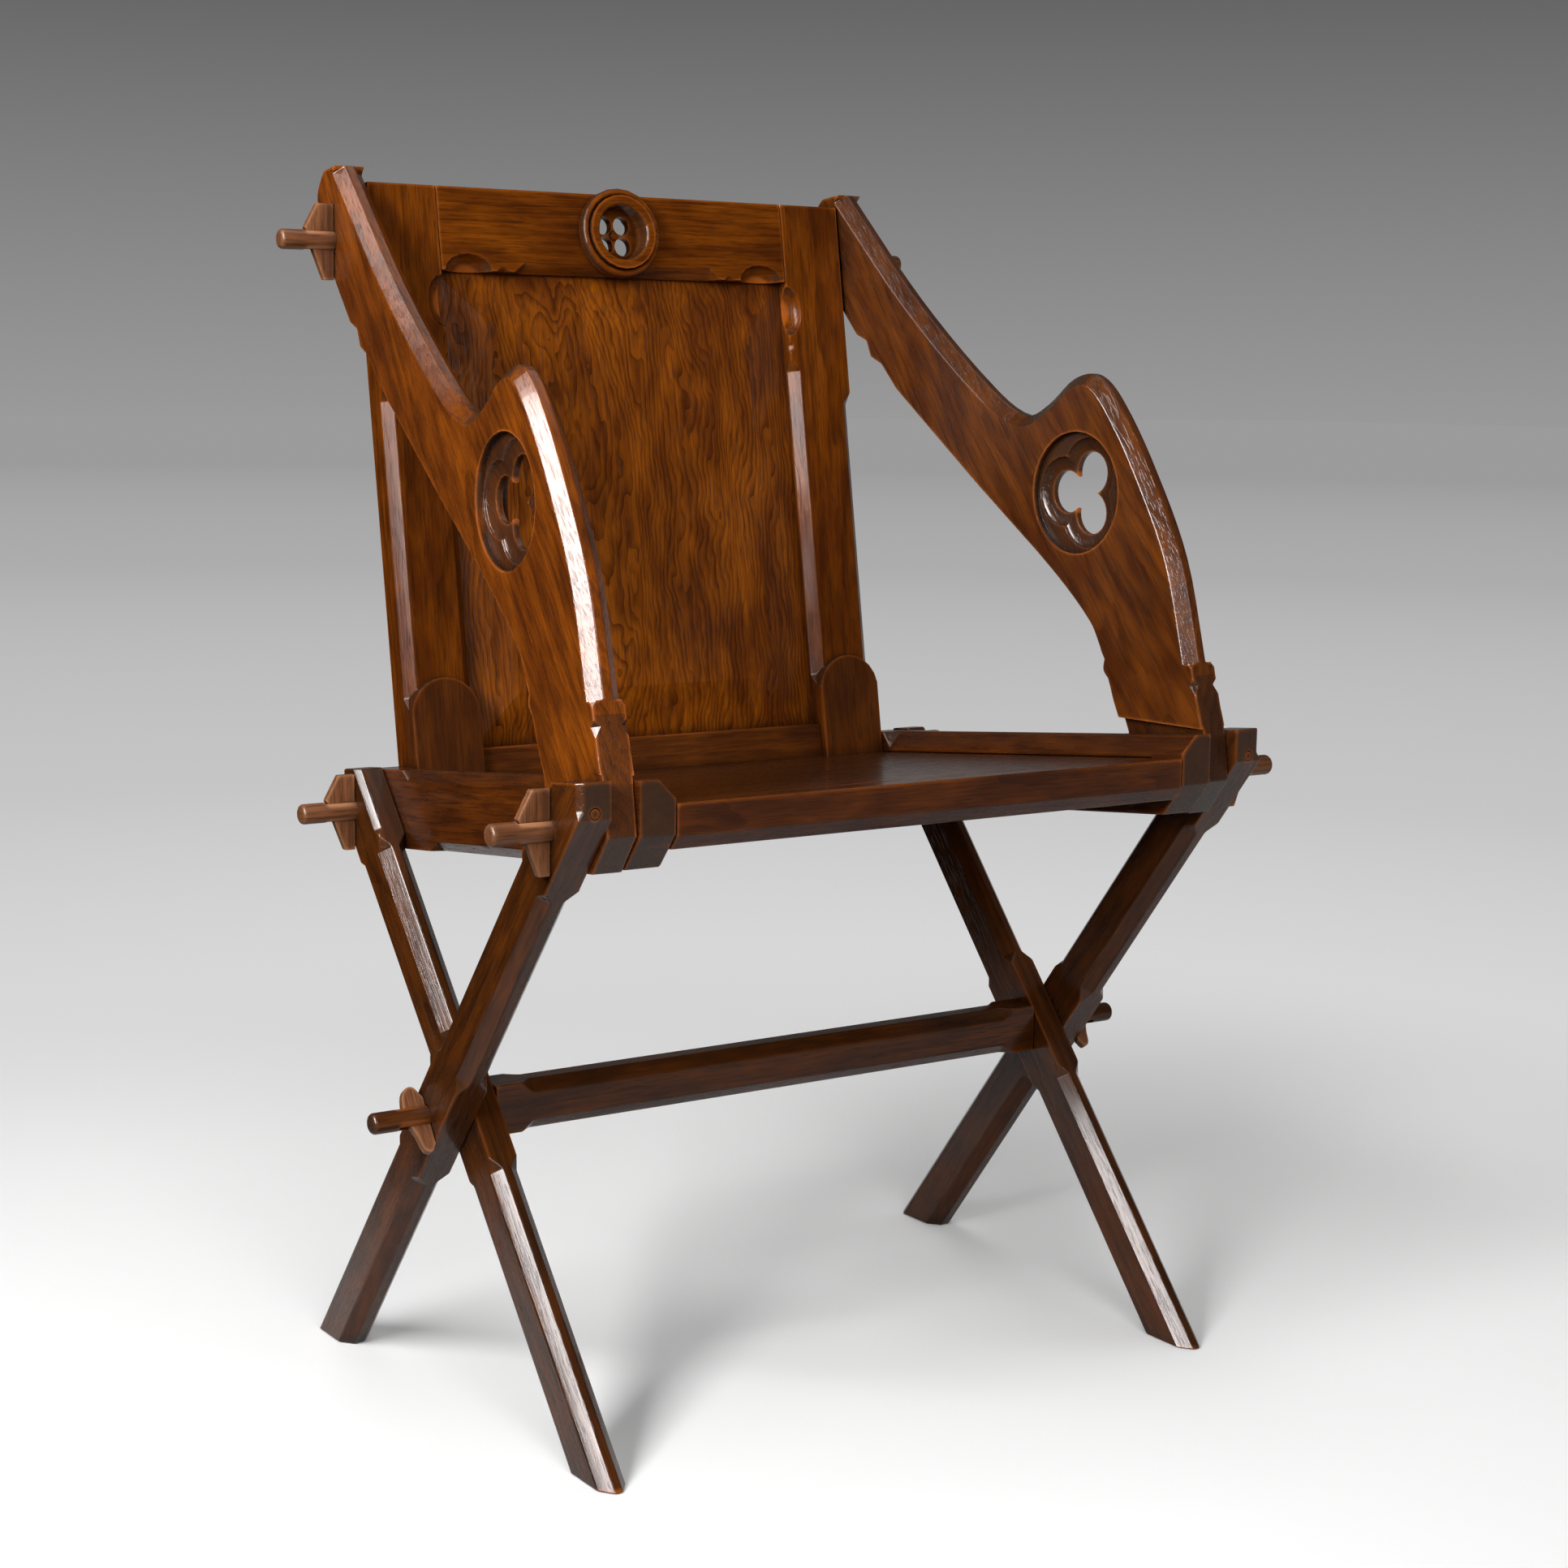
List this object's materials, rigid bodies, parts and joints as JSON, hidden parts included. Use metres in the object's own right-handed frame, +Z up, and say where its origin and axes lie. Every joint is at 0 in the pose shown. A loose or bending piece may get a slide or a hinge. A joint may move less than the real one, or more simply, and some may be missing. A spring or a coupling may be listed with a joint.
{
  "type": "glastonbury chair",
  "caption": "Oak armchair with crossed legs, shaped arms pierced with trefoils, a fielded panel back and a pierced crest roundel, held by pins with loose keys.",
  "frame": {"origin": "on the floor, at the centre of the chair's bounding box", "axes": "+Z up, +Y towards the back of the chair, +X to the right as seen from in front"},
  "size_m": [0.6612, 0.4853, 0.8705],
  "materials": {
    "frame_oak": "dark polished oak",
    "panel_oak": "dark polished oak, figured",
    "arm_oak": "dark polished oak",
    "leg_oak": "dark polished oak",
    "pin_oak": "worn polished oak"
  },
  "bodies": {
    "frame": {"leg_front_left": "leg_oak", "leg_front_right": "leg_oak", "leg_rear_left": "leg_oak", "leg_rear_right": "leg_oak", "stretcher": "leg_oak", "arm_left": "arm_oak", "arm_right": "arm_oak", "side_rail_left": "frame_oak", "side_rail_right": "frame_oak", "front_rail": "frame_oak", "rear_rail": "frame_oak", "seat_board": "panel_oak", "stile_left": "frame_oak", "stile_right": "frame_oak", "top_rail": "frame_oak", "bottom_rail": "frame_oak", "back_panel": "panel_oak", "crest_roundel": "frame_oak", "pin_front_left": "pin_oak", "pin_front_right": "pin_oak", "pin_rear_left": "pin_oak", "pin_rear_right": "pin_oak", "pin_top_left": "pin_oak", "pin_top_right": "pin_oak", "leg_peg_left": "pin_oak", "leg_peg_right": "pin_oak"},
    "key_front_left": {"key_front_left": "pin_oak"},
    "key_front_right": {"key_front_right": "pin_oak"},
    "key_rear_left": {"key_rear_left": "pin_oak"},
    "key_rear_right": {"key_rear_right": "pin_oak"},
    "key_top_left": {"key_top_left": "pin_oak"},
    "key_top_right": {"key_top_right": "pin_oak"},
    "key_stretcher_left": {"key_stretcher_left": "pin_oak"},
    "key_stretcher_right": {"key_stretcher_right": "pin_oak"}
  },
  "joints": [
    {"name": "key_front_left_pull", "type": "slide", "parent": "frame", "child": "key_front_left", "axis": [0, 0, 1], "range_m": [0, 0.04]},
    {"name": "key_front_right_pull", "type": "slide", "parent": "frame", "child": "key_front_right", "axis": [0, 0, 1], "range_m": [0, 0.04]},
    {"name": "key_rear_left_pull", "type": "slide", "parent": "frame", "child": "key_rear_left", "axis": [0, 0, 1], "range_m": [0, 0.04]},
    {"name": "key_rear_right_pull", "type": "slide", "parent": "frame", "child": "key_rear_right", "axis": [0, 0, 1], "range_m": [0, 0.04]},
    {"name": "key_top_left_pull", "type": "slide", "parent": "frame", "child": "key_top_left", "axis": [0, 0, 1], "range_m": [0, 0.04]},
    {"name": "key_top_right_pull", "type": "slide", "parent": "frame", "child": "key_top_right", "axis": [0, 0, 1], "range_m": [0, 0.04]},
    {"name": "key_stretcher_left_pull", "type": "slide", "parent": "frame", "child": "key_stretcher_left", "axis": [0, 0.5736, 0.8192], "range_m": [0, 0.04]},
    {"name": "key_stretcher_right_pull", "type": "slide", "parent": "frame", "child": "key_stretcher_right", "axis": [0, 0.5736, 0.8192], "range_m": [0, 0.04]}
  ]
}
